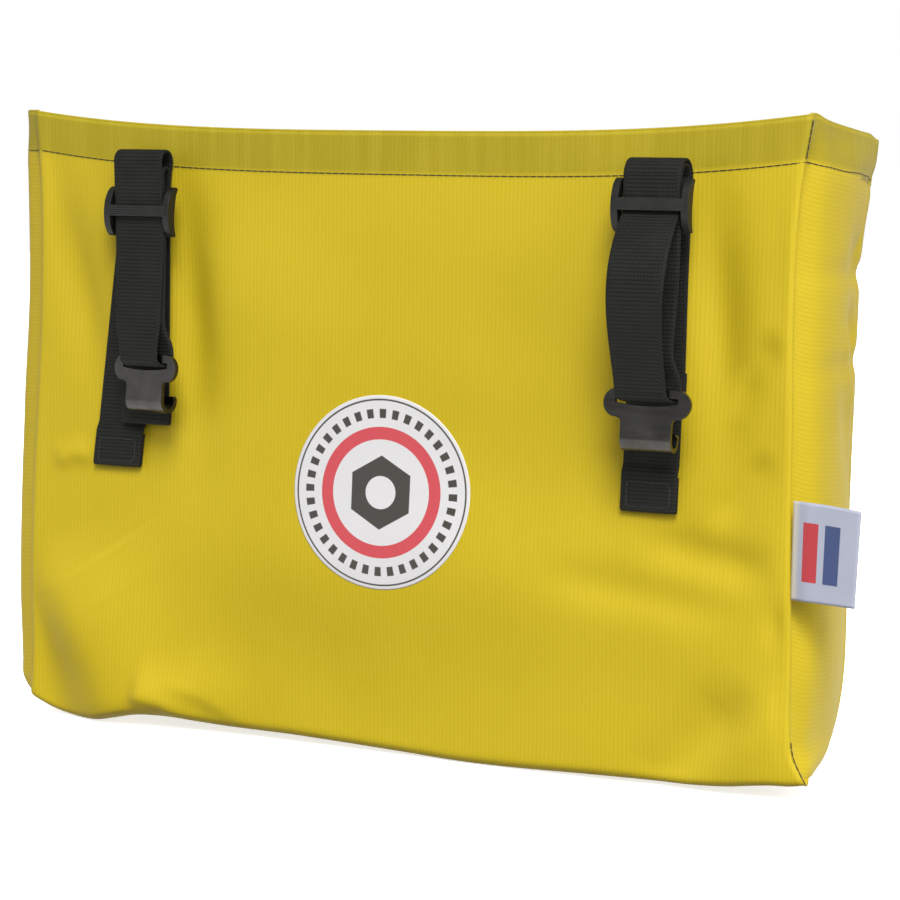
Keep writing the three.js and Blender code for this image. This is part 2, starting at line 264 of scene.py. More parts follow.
def segment_distance(x, z, line):
    """Signed distance to a polyline, positive to its right, and the share of its length."""
    line = np.array(line, float)
    lengths = np.linalg.norm(np.diff(line, axis=0), axis=1)
    before = np.concatenate([[0], np.cumsum(lengths)])
    best = np.full(np.shape(x), 1e9)
    signed = np.zeros(np.shape(x))
    share = np.zeros(np.shape(x))
    for i, length in enumerate(lengths):
        ux, uz = (line[i + 1] - line[i]) / length
        t = np.clip((x - line[i, 0]) * ux + (z - line[i, 1]) * uz, 0, length)
        dx = x - (line[i, 0] + ux * t)
        dz = z - (line[i, 1] + uz * t)
        distance = np.hypot(dx, dz)
        nearer = distance < best
        best = np.where(nearer, distance, best)
        side = np.sign(dz * ux - dx * uz)
        signed = np.where(nearer, distance * side, signed)
        share = np.where(nearer, (before[i] + t) / before[-1], share)
    return signed, share


def fold(x, z, line, height, before, after, start, end):
    """A ridge along a line, with its own width on each side, that fades in over the first
    share of its length and out over the last."""
    distance, share = segment_distance(x, z, line)
    width = np.where(distance < 0, before, after)
    ridge = np.exp(-((distance / width) ** 2))
    fade = smoothstep(0, start, share)
    if end:
        fade = fade * smoothstep(0, end, 1 - share)
    return height * ridge * fade


def swell(x, z, centre, size, height, tilt=0.0):
    """A soft oval rise or hollow. Tilt is in degrees, anticlockwise."""
    angle = math.radians(tilt)
    dx = x - centre[0]
    dz = z - centre[1]
    u = (dx * math.cos(angle) + dz * math.sin(angle)) / size[0]
    v = (dz * math.cos(angle) - dx * math.sin(angle)) / size[1]
    return height * np.exp(-(u * u) - v * v)


def ripple(x, z, seed):
    """Slow unevenness that no cloth is without, less than a millimetre high."""
    rng = np.random.default_rng(seed)
    total = np.zeros(np.shape(x))
    for _ in range(7):
        wave = rng.uniform(55, 130)
        angle = rng.uniform(0, math.pi)
        phase = rng.uniform(0, 2 * math.pi)
        along = x * math.cos(angle) + z * math.sin(angle)
        total = total + np.sin(along * 2 * math.pi / wave + phase)
    return total * 0.1


def front_relief(x, z):
    """How far the front stands forward of its plane."""
    folds = sum(fold(x, z, *shape) for shape in FRONT_FOLDS)
    swells = sum(swell(x, z, *shape) for shape in FRONT_SWELLS)
    return folds + swells + ripple(x, z, 3)


def wrap(u):
    """The cloth that makes the front, the bottom and the back, as a grid of points: u is
    from -1 at the left seam to 1 at the right one. Rows run from the front's top edge down,
    under the bag and up to the back's top edge."""
    u = np.asarray(u, float)[None, :]
    edge = smoothstep(0.55, 0.98, np.abs(u))
    top = TOP - mix(*FRONT_SAG, np.abs(u) ** 3.2)
    low = through(LOWER_EDGE, u * LOWER_EDGE_REACH) + EDGE_LIFT
    turn = mix(*FRONT_TURN, edge)
    back_top = TOP - mix(*BACK_SAG, u**2) - CORNER_DROP * smoothstep(0.955, 1, np.abs(u))
    back_low_z = mix(*BACK_LIFT, edge)
    corner = mix(*BACK_CORNER, edge)

    t = np.linspace(0, 1, FRONT_ROWS)[:, None]
    front_z = mix(top, low + turn, t)
    front_y = np.full_like(front_z, FRONT)

    a = np.linspace(0, math.pi / 2, TURN_ROWS + 1)[1:, None]
    turn_y = FRONT + turn * (1 - np.cos(a))
    turn_z = low + turn * (1 - np.sin(a))

    back_y = mix(through(BACK_MIDDLE, corner), through(BACK_EDGE, corner), edge)
    start = FRONT + turn
    stop = back_y - corner
    t = np.linspace(0, 1, 2 * BOTTOM_ROWS + 2)[1:-1, None]
    bottom_y = mix(start, stop, t)
    bottom_z = mix(low, back_low_z, smoothstep(0, 1, t)) + 0 * bottom_y

    a = np.linspace(0, math.pi / 2, CORNER_ROWS)[:, None]
    corner_y = stop + corner * np.sin(a)
    corner_z = back_low_z + corner * (1 - np.cos(a))

    back_rows = FRONT_ROWS + TURN_ROWS - CORNER_ROWS
    t = np.linspace(0, 1, back_rows + 1)[1:, None]
    rear_z = mix(back_low_z + corner, back_top, t)
    rear_y = mix(through(BACK_MIDDLE, rear_z), through(BACK_EDGE, rear_z), edge)

    y = np.concatenate([front_y, turn_y, bottom_y, corner_y, rear_y])
    z = np.concatenate([front_z, turn_z, bottom_z, corner_z, rear_z])

    left = through(LEFT_SEAM, z)
    right = through(RIGHT_SEAM, z)
    rows = np.arange(len(y))[:, None]
    to_back = smoothstep(FRONT_ROWS + TURN_ROWS, FRONT_ROWS + 2 * BOTTOM_ROWS, rows)
    back_half = BACK_HALF_WIDTH + BACK_FLARE * smoothstep(225, 285, z)
    left = mix(left, -back_half, to_back)
    dents = sum(swell(0, z, (0, height), (1, 5), depth) for height, depth in BACK_DENTS)
    right = mix(right, back_half + RIGHT_BACK_EXTRA - dents, to_back)
    x = mix(left, right, (u + 1) / 2)

    turned = smoothstep(FRONT_ROWS + TURN_ROWS + 6, FRONT_ROWS - 4, rows)
    relief = front_relief(x, z) * edge_fade(x, left, right) * smoothstep(0, 14, rows)
    y = y - relief * turned
    z = np.maximum(z, LOWEST)
    back_ripple = ripple(x, z, 11) * 2.2 * (1 - turned) * edge_fade(x, left, right)
    y = y + back_ripple * smoothstep(FRONT_ROWS + 2 * BOTTOM_ROWS, FRONT_ROWS + 80, rows)
    y = y + seam_roll(x, left, right) * turned
    y = y - seam_roll(x, left, right) * smoothstep(0.5, 1, to_back) * smoothstep(60, 90, z)
    return np.stack(np.broadcast_arrays(x, y, z), -1)


def edge_fade(x, left, right):
    """Relief dies away close to the seams, where the gusset holds the cloth."""
    return smoothstep(0, 9, x - left) * smoothstep(0, 9, right - x)


def seam_roll(x, left, right):
    """The cloth turns inwards over its last few millimetres, into the seam."""
    near = np.minimum(x - left, right - x)
    return 1.3 * np.clip(1 - near / 2.6, 0, 1) ** 2


# Columns crowd towards the seams, where the cloth turns.
steps = np.linspace(-1, 1, COLUMNS)
columns = np.sign(steps) * (1 - (1 - np.abs(steps)) ** 1.25)
wrap_grid = wrap(columns)
ROWS = len(wrap_grid)
PAIRS = ROWS // 2


def weave_of(across, along, layers):
    across, along, layers = np.broadcast_arrays(across, along, layers)
    return np.stack([across, along, layers], -1)


def doubled(depth):
    """1 where the hem doubles the cloth, 0 below it, from the distance below the top edge."""
    return smoothstep(HEM - 0.5, HEM - 3.5, depth)


def make_wrap():
    depth = path_length(wrap_grid)
    from_back = depth[-1] - depth
    # The material darkens where the cloth is doubled, partly as painted shade of the hem's rolled
    # top.
    layers = np.maximum(doubled(depth), doubled(from_back))
    weave = weave_of(wrap_grid[..., 0], depth, layers)
    return cloth_object("bag_wrap", wrap_grid, weave)


def gusset_grid(sign):
    """A side of the bag. Its edges are the wrap's, joined row by row from the top down. The
    right side is tucked in along its front seam, and the left one rolls outwards there."""
    edge = wrap_grid[:, -1 if sign > 0 else 0]
    front = edge[:PAIRS][:, None]
    back = edge[ROWS - PAIRS:][::-1][:, None]
    share = np.linspace(0, 1, GUSSET_COLUMNS)
    share = (share - 0.06 * np.sin(2 * math.pi * share))[None, :]
    grid = mix(front, back, share[..., None])
    y = grid[..., 1]
    z = grid[..., 2]
    from_front = share * np.linalg.norm(back - front, axis=-1)
    held = smoothstep(0, 1, share * 9) * smoothstep(0, 1, (1 - share) * 7)
    hem = smoothstep(262, 284, z)
    belly = BELLY * np.sin(math.pi * share**0.85) * smoothstep(4, 60, z) * (1 - 0.75 * hem)
    if sign > 0:
        tuck = RIGHT_TUCK * np.exp(-(((from_front - 6) / 6) ** 2)) * smoothstep(0, 4, from_front)
        tuck = tuck * (1 - 0.75 * hem) * mix(0.5, 1, smoothstep(40, 110, z))
    else:
        roll = smoothstep(0.6, 7.5, from_front) * smoothstep(1, 0.55, share)
        tuck = -LEFT_ROLL * roll * smoothstep(0, 18, z) * (1 - 0.15 * hem)
        belly = belly * 0.5
    folds = sum(fold(y, z, *shape) for shape in SIDE_FOLDS[sign])
    unevenness = ripple(y * 2, z, 21 + sign) * 1.5
    grid[..., 0] += sign * ((belly + folds + unevenness) * held - tuck)
    level = 2.4 * share * smoothstep(1, 0.84, share) + swell(from_front, 0, (7, 0), (5, 1), 1.0)
    grid[..., 2] += (level - 1.2 * np.sin(math.pi * share)) * hem
    return grid


def make_gusset(name, grid, flip):
    across = path_length(grid.swapaxes(0, 1)).T
    depth = path_length(grid)
    return cloth_object(name, grid, weave_of(depth, across, doubled(depth)), flip)


def hem_grid(surface, flip):
    """The turned-in hem above a wall: over the top edge and down inside."""
    top = surface[0]
    down = surface[6] - surface[0]
    down = down / np.linalg.norm(down, axis=-1, keepdims=True)
    outward = normals_of(surface, flip)[3]
    rows = []
    for angle in np.linspace(0, math.pi, 9):
        rise = FOLD_RADIUS * math.sin(angle)
        inset = FOLD_RADIUS * (1 - math.cos(angle))
        rows.append(top - down * rise - outward * inset)
    for share in np.linspace(0, 1, 14)[1:]:
        rows.append(rows[8] + down * (HEM * share))
    return np.array(rows)


def make_hem(name, surface, flip):
    grid = hem_grid(surface, flip)
    weave = weave_of(path_length(grid[0]), path_length(grid), 1.0)
    return cloth_object(name, grid, weave, not flip)


# ---- thread

THREAD_LIFT = 0.12
STITCH_SHARE = 0.95
CAPSULE_RINGS = ((0, 0.35), (0.08, 0.8), (0.25, 1), (0.75, 1), (0.92, 0.8), (1, 0.35))


def capsule_points(start, end, radius, sides=8):
    """Rings of a rounded thread from start to end."""
    axis = end - start
    length = np.linalg.norm(axis)
    axis = axis / length
    helper = np.array([0.0, 0.0, 1.0]) if abs(axis[2]) < 0.8 else np.array([1.0, 0.0, 0.0])
    side = np.cross(axis, helper)
    side = side / np.linalg.norm(side)
    up = np.cross(side, axis)
    angles = np.linspace(0, 2 * math.pi, sides, endpoint=False)[:, None]
    ring = side * np.cos(angles) + up * np.sin(angles)
    return np.array([start + axis * (length * share) + ring * (radius * size)
                     for share, size in CAPSULE_RINGS])


def make_stitches(name, runs, pitch, radius):
    """Stitches along runs of points: each run is a polyline in millimetres."""
    points = []
    faces = []
    for run in runs:
        reach = path_length(run)
        count = max(1, int(round(reach[-1] / pitch)))
        marks = np.linspace(0, reach[-1], count + 1)
        at = np.stack([np.interp(marks, reach, run[:, i]) for i in range(3)], 1)
        for a, b in zip(at[:-1], at[1:]):
            middle = (a + b) / 2
            ends = (mix(middle, a, STITCH_SHARE), mix(middle, b, STITCH_SHARE))
            rings = capsule_points(*ends, radius)
            rows, sides = rings.shape[:2]
            base = len(points) * rows * sides
            points.append(rings.reshape(-1, 3))
            faces.extend((grid_faces(rows, sides, True)[:, ::-1] + base).tolist())
            faces.append([base + i for i in range(sides)])
            faces.append([base + rows * sides - 1 - i for i in range(sides)])
    return make_object(name, np.concatenate(points), faces)


def row_at_depth(grid, column, depth):
    """The fractional row that lies the given distance below a grid's top edge."""
    rows = np.arange(STITCHED_ROWS)
    return np.interp(depth, path_length(sample(grid, rows, column)), rows)


def line_below_top(grid, flip, depth, count=240):
    """A run of points round a wall. depth gives its distance below the top edge, from the
    share of the way along it."""
    run = []
    normal = normals_of(grid, flip)
    for share in np.linspace(0, 1, count):
        column = share * (grid.shape[1] - 1)
        row = row_at_depth(grid, column, depth(share))
        run.append(sample(grid, row, column) + sample(normal, row, column) * THREAD_LIFT)
    return np.array(run)


# ---- materials


class Nodes:
    """Short ways to add and join the nodes of a material or a world. Inputs are named in
    lower case, with underscores."""

    def __init__(self, owner):
        owner.use_nodes = True
        self.tree = owner.node_tree
        self.tree.nodes.clear()

    def plug(self, socket, value):
        if isinstance(value, bpy.types.NodeSocket):
            self.tree.links.new(value, socket)
        else:
            socket.default_value = value

    def fill(self, node, **inputs):
        for name, value in inputs.items():
            name = name.replace("_", " ").title().replace("Ior", "IOR")
            self.plug(node.inputs[name], value)
        return node

    def add(self, kind, **inputs):
        return self.fill(self.tree.nodes.new("ShaderNode" + kind), **inputs)

    def math(self, operation, a, b=None, c=None, clamp=False):
        node = self.add("Math")
        node.operation = operation
        node.use_clamp = clamp
        for socket, value in zip(node.inputs, (a, b, c)):
            if value is not None:
                self.plug(socket, value)
        return node.outputs[0]

    def position(self):
        return self.add("TexCoord").outputs["Object"]

    def weave(self):
        """The weave attribute's three parts."""
        node = self.add("Attribute")
        node.attribute_name = "weave"
        return self.add("SeparateXYZ", vector=node.outputs["Vector"]).outputs

    def noise(self, vector, scale, detail=3.0, stretch=None):
        if stretch is not None:
            vector = self.add("Mapping", vector=vector, scale=stretch).outputs[0]
        node = self.add("TexNoise", vector=vector, scale=scale, detail=detail, roughness=0.55)
        return node.outputs["Fac"]

    def wave(self, value, pitch):
        """0 to 1 and back over each pitch, in the value's own units."""
        turn = self.math("MULTIPLY", value, 2 * math.pi / pitch)
        return self.math("MULTIPLY_ADD", self.math("COSINE", turn), 0.5, 0.5)

    def ramp(self, value, low, high, out_low=0.0, out_high=1.0):
        return self.add("MapRange", value=value, from_min=low, from_max=high,
                        to_min=out_low, to_max=out_high).outputs[0]

    def band(self, value, low, high, soft):
        """1 between low and high, and 0 beyond them."""
        inner = self.ramp(value, low - soft, low + soft)
        outer = self.ramp(value, high + soft, high - soft)
        return self.math("MULTIPLY", inner, outer, clamp=True)

    def mix(self, share, a, b):
        node = self.add("Mix")
        node.data_type = "RGBA"
        self.plug(node.inputs["Factor"], share)
        self.plug(node.inputs[6], a)
        self.plug(node.inputs[7], b)
        return node.outputs[2]


class Look(Nodes):
    """A material with one Principled shader."""

    def __init__(self, name):
        self.material = bpy.data.materials.new(name)
        super().__init__(self.material)
        self.shader = self.add("BsdfPrincipled")
        self.add("OutputMaterial", surface=self.shader.outputs[0])

    def set(self, **inputs):
        self.fill(self.shader, **inputs)

    def bump(self, height, strength, distance):
        node = self.add("Bump", height=height, strength=strength, distance=distance)
        self.set(normal=node.outputs[0])


def rgb(red, green, blue):
    """A display colour, 0 to 255, as the linear colour that a shader takes."""
    linear = []
    for value in (red, green, blue):
        share = value / 255
        linear.append(share / 12.92 if share <= 0.04045 else ((share + 0.055) / 1.055) ** 2.4)
    return (*linear, 1.0)


CLOTH_RIB = 1.9
WARP_PITCH = 1.39
PRINT_EDGE = 0.12
TAG_PRINT_EDGE = 0.15


def cloth_material():
    """Coated nylon: fine upright ribs crossed by finer picks. The hem, which is cloth folded
    double, is darker, partly for its doubled cloth and partly as painted shade of its top
    rolling inwards, and has upright streaks."""
    n = Look("yellow_cloth")
    across, along, layers = n.weave()
    position = n.position()
    rib = n.wave(across, CLOTH_RIB)
    pick = n.wave(along, 1.25)
    yarn = n.math("MULTIPLY", n.wave(across, CLOTH_RIB / 2), n.wave(along, 0.62))
    patch = n.noise(position, 9, 4)
    streak = n.noise(position, 220, 2, stretch=(1, 1, 0.04))
    base = n.mix(n.ramp(patch, 0.3, 0.7), rgb(198, 173, 22), rgb(208, 183, 32))
    base = n.mix(n.math("MULTIPLY", rib, 0.2), base, rgb(178, 150, 12))
    base = n.mix(n.math("MULTIPLY", yarn, 0.1), base, rgb(224, 204, 78))
    # Painted shade: the hem's darker colours stand partly for its doubled cloth and partly for the
    # shade of its top, which rolls inwards.
    hem = n.mix(n.ramp(patch, 0.35, 0.65), rgb(150, 135, 18), rgb(166, 149, 24))
    hem = n.mix(n.ramp(streak, 0.4, 0.7, 0, 0.4), hem, rgb(180, 163, 46))
    base = n.mix(n.math("MULTIPLY", layers, 0.85), base, hem)
    roughness = n.ramp(n.noise(position, 900, 2), 0.2, 0.8, 0.5, 0.66)
    n.set(base_color=base, roughness=roughness, specular_ior_level=0.25,
          sheen_weight=0.05, sheen_roughness=0.4)
    height = n.math("MULTIPLY_ADD", rib, 1.0, n.math("MULTIPLY", pick, 0.15))
    height = n.math("MULTIPLY_ADD", yarn, 0.7, height)
    height = n.math("MULTIPLY_ADD", n.noise(position, 60, 3), 1.5, height)
    n.bump(height, 0.35, 0.00012)
    return n.material


def webbing_material():
    """Black nylon webbing: warp columns over the woven ribs that the mesh has. The ribs'
    hollows are painted darker and their crests lighter, as shade.
    """
    n = Look("black_webbing")
    across, along, rib = n.weave()
    position = n.position()
    column = n.wave(across, WARP_PITCH)
    half = n.math("MULTIPLY_ADD", across, 0.5 / WARP_PITCH, n.math("MULTIPLY", along, 1 / RIB))
    float_yarn = n.wave(half, 1.0)
    worn = n.noise(position, 70, 3)
    # Painted shade: rib is the mesh's relief value, so the ribs' hollows are dark and their crests
    # lighter.
    base = n.mix(rib, rgb(8, 8, 7), rgb(38, 39, 34))
    base = n.mix(n.math("MULTIPLY", column, 0.6), base, rgb(14, 14, 13))
    base = n.mix(n.ramp(worn, 0.4, 0.8, 0.0, 0.2), base, rgb(56, 56, 50))
    n.set(base_color=base, roughness=n.ramp(worn, 0.3, 0.7, 0.6, 0.72), specular_ior_level=0.15)
    height = n.math("MULTIPLY_ADD", column, 0.8, n.math("MULTIPLY", float_yarn, 0.5))
    height = n.math("MULTIPLY_ADD", n.noise(position, 1500, 2), 0.4, height)
    n.bump(height, 0.5, 0.00018)
    return n.material


def thread_material():
    n = Look("black_thread")
    twist = n.noise(n.position(), 1800, 2, stretch=(0.4, 1, 1))
    n.set(base_color=n.mix(twist, rgb(9, 9, 8), rgb(28, 27, 22)), roughness=0.7)
    n.bump(twist, 0.4, 0.0001)
    return n.material


def tape_material():
    """Binding tape inside the seams: a plain black weave."""
    n = Look("binding_tape")
    across, along, _ = n.weave()
    ribs = n.math("MULTIPLY", n.wave(across, 0.9), n.wave(along, 0.7))
    n.set(base_color=n.mix(ribs, rgb(20, 20, 18), rgb(46, 46, 42)), roughness=0.8,
          sheen_weight=0.15)
    n.bump(ribs, 0.5, 0.00015)
    return n.material


def plastic_material():
    """Moulded black nylon with a fine grain, rubbed lighter in patches."""
    n = Look("black_nylon")
    position = n.position()
    rub = n.noise(position, 120, 3)
    n.set(base_color=n.mix(n.ramp(rub, 0.4, 0.75), rgb(15, 16, 14), rgb(30, 30, 26)),
          roughness=n.ramp(rub, 0.3, 0.7, 0.46, 0.58), specular_ior_level=0.3)
    n.bump(n.noise(position, 1400, 3), 0.25, 0.00008)
    return n.material


def steel_material():
    """Black oxide steel: smooth, with faint brushing and lighter worn spots."""
    n = Look("black_steel")
    position = n.position()
    brushed = n.noise(position, 500, 3, stretch=(0.15, 1, 1))
    rub = n.ramp(n.noise(position, 90, 2), 0.4, 0.8)
    n.set(base_color=n.mix(rub, rgb(62, 61, 59), rgb(76, 75, 72)),
          roughness=n.ramp(brushed, 0.3, 0.7, 0.26, 0.36), metallic=1.0)
    n.bump(brushed, 0.12, 0.00006)
    return n.material


def label_material(radius):
    """A white printed disc: a dark line near the rim, a ring of short dashes, a red ring and
    a dark hexagonal nut. The weave attribute holds the distance from the centre across and
    up, in millimetres."""
    n = Look("printed_label")
    across, up, _ = n.weave()
    position = n.position()
    squares = n.math("ADD", n.math("MULTIPLY", across, across), n.math("MULTIPLY", up, up))
    reach = n.math("SQRT", squares)
    angle = n.math("ARCTAN2", up, across)

    def ring(low, high):
        return n.band(reach, low * radius, high * radius, PRINT_EDGE)

    dash = n.ramp(n.wave(angle, 2 * math.pi / 36), 0.42, 0.55)
    dashes = n.math("MULTIPLY", dash, ring(0.765, 0.86))
    sides = 0.0
    for turn in (0, math.pi / 3, 2 * math.pi / 3):
        side = n.math("MULTIPLY_ADD", across, math.cos(turn), n.math("MULTIPLY", up, math.sin(turn)))
        sides = n.math("MAXIMUM", sides, n.math("ABSOLUTE", side))
    outside = n.ramp(sides, 0.33 * radius + PRINT_EDGE, 0.33 * radius - PRINT_EDGE)
    bore = n.ramp(reach, 0.17 * radius - PRINT_EDGE, 0.17 * radius + PRINT_EDGE)
    nut = n.math("MULTIPLY", outside, bore, clamp=True)
    speck = n.noise(position, 2500, 2)
    paper = n.mix(n.noise(position, 40, 3), rgb(214, 212, 213), rgb(224, 222, 222))
    ink = n.mix(speck, rgb(44, 40, 37), rgb(62, 57, 52))
    red = n.mix(speck, rgb(196, 66, 74), rgb(207, 80, 87))
    dark = n.math("MAXIMUM", n.math("MAXIMUM", ring(0.945, 0.963), dashes), nut, clamp=True)
    n.set(base_color=n.mix(dark, n.mix(ring(0.545, 0.675), paper, red), ink),
          roughness=n.ramp(speck, 0.2, 0.8, 0.42, 0.52))
    rib = n.wave(across, CLOTH_RIB)
    n.bump(n.math("MULTIPLY_ADD", rib, 0.6, n.noise(position, 1200, 2)), 0.25, 0.0001)
    return n.material


def tag_material(width, height):
    """Woven satin with two plain printed bars. The weave attribute is in millimetres from
    the tag's sewn edge and from its lower edge."""
    n = Look("woven_tag")
    across, up, _ = n.weave()
    satin = n.math("MULTIPLY", n.wave(across, 0.5), n.wave(up, 0.8))
    base = n.mix(n.noise(n.position(), 60, 3), rgb(160, 164, 182), rgb(174, 178, 192))
    base = n.mix(n.ramp(across, 3.5, 0.5), base, rgb(206, 198, 176))
    tall = n.band(up, 0.2 * height, 0.8 * height, TAG_PRINT_EDGE)
    for left, right, colour in ((0.17, 0.4, rgb(178, 48, 56)), (0.5, 0.73, rgb(48, 64, 108))):
        wide = n.band(across, left * width, right * width, TAG_PRINT_EDGE)
        base = n.mix(n.math("MULTIPLY", wide, tall, clamp=True), base, colour)
    n.set(base_color=base, roughness=n.ramp(satin, 0, 1, 0.42, 0.56), sheen_weight=0.2)
    n.bump(satin, 0.3, 0.0001)
    return n.material


def floor_material():
    n = Look("pale_floor")
    position = n.position()
    n.set(base_color=n.mix(n.noise(position, 3, 2), rgb(246, 246, 246), rgb(249, 249, 249)),
          roughness=0.9, emission_color=(1, 1, 1, 1), emission_strength=0.7)
    n.bump(n.noise(position, 300, 2), 0.05, 0.0002)
    return n.material


# ---- webbing

RIB = 1.68
WEB_WIDTH = 25.4
WEB_THICKNESS = 1.4
WEB_GAP = 0.3
ANCHOR_GAP = 0.9
END_FOLD = 14.0
END_FOLD_RADIUS = 0.85
BIGHT_RADIUS = 3.1
SPREAD = 20.0
TAIL_GAP = 0.8
TAIL_DIVIDE = 0.07
TAIL_HEM = 8.0
WEB_RELIEF = 0.11
HOOK_SKEW = 2.4
WEB_EDGE = 1.6
STEPS_PER_RIB = 6


def arc(centre, radius, start, end, count=24):
    angles = np.linspace(math.radians(start), math.radians(end), count)
    return np.stack([centre[0] + radius * np.cos(angles), centre[1] + radius * np.sin(angles)], 1)


def bezier(a, b, c, d, count=24):
    t = np.linspace(0, 1, count)[:, None]
    a, b, c, d = (np.array(p, float) for p in (a, b, c, d))
    return (1 - t) ** 3 * a + 3 * (1 - t) ** 2 * t * b + 3 * (1 - t) * t * t * c + t**3 * d


def resample(parts, step):
    """One polyline through all the parts, with even steps, and the length along it."""
    line = np.concatenate([np.asarray(part, float).reshape(-1, 2) for part in parts])
    keep = np.concatenate([[True], np.linalg.norm(np.diff(line, axis=0), axis=1) > 1e-6])
    line = line[keep]
    reach = path_length(line)
    marks = np.linspace(0, reach[-1], int(round(reach[-1] / step)) + 1)
    line = np.stack([np.interp(marks, reach, line[:, i]) for i in range(2)], 1)
    for _ in range(3):
        line[1:-1] = (line[:-2] + 2 * line[1:-1] + line[2:]) / 4
    return line, marks


def section(half_width, half_thickness, faces=30, edge=7):
    """The outline of a woven tape: two flat faces and two round edges, as (across, out)."""
    flat = half_width - half_thickness
    across = np.linspace(-flat, flat, faces)
    front = np.stack([across, np.full(faces, half_thickness)], 1)
    turn = np.linspace(math.pi / 2, -math.pi / 2, edge)[1:-1]
    right = np.stack([flat + half_thickness * np.cos(turn), half_thickness * np.sin(turn)], 1)
    back = np.stack([across[::-1], np.full(faces, -half_thickness)], 1)
    left = np.stack([-right[:, 0], right[:, 1]], 1)[::-1]
    return np.concatenate([front, right, back, left])


def web_mesh(name, parts, place, start=0.0):
    """Ribbed webbing along a centreline in the strap's Y-Z plane. place moves points of that
    plane, with their distance across, into the frame. start is the length before it."""
    line, reach = resample(parts, RIB / STEPS_PER_RIB)
    tangent = np.gradient(line, axis=0)
    tangent = tangent / np.linalg.norm(tangent, axis=1, keepdims=True)
    normal = np.stack([-tangent[:, 1], tangent[:, 0]], 1)
    half_width = WEB_WIDTH / 2
    outline = section(half_width, WEB_THICKNESS / 2 - 0.08)
    away = np.abs(outline[:, 0])
    sign = np.sign(outline[:, 1])
    reach = reach[:, None] + start
    rib = 0.5 + 0.5 * np.cos(2 * math.pi * reach / RIB)
    face_rib = np.where(sign > 0, rib, 1 - rib)
    edge = np.clip((away - half_width + WEB_EDGE) / WEB_EDGE, 0, 1)
    out = outline[:, 1] + sign * face_rib**1.4 * WEB_RELIEF * (1 - edge)
    across = outline[:, 0] + np.sign(outline[:, 0]) * edge * 0.17 * (rib - 0.5)
    points = line[:, None, :] + normal[:, None, :] * out[..., None]
    placed = place(across, points[..., 0], points[..., 1])
    rows, columns = across.shape
    faces = grid_faces(rows, columns, True).tolist()
    faces.append(list(range(columns))[::-1])
    faces.append([(rows - 1) * columns + i for i in range(columns)])
    shade = np.where(away < half_width - 1.0, face_rib, rib)
    return make_object(name, placed, faces, weave_of(across, reach, shade))


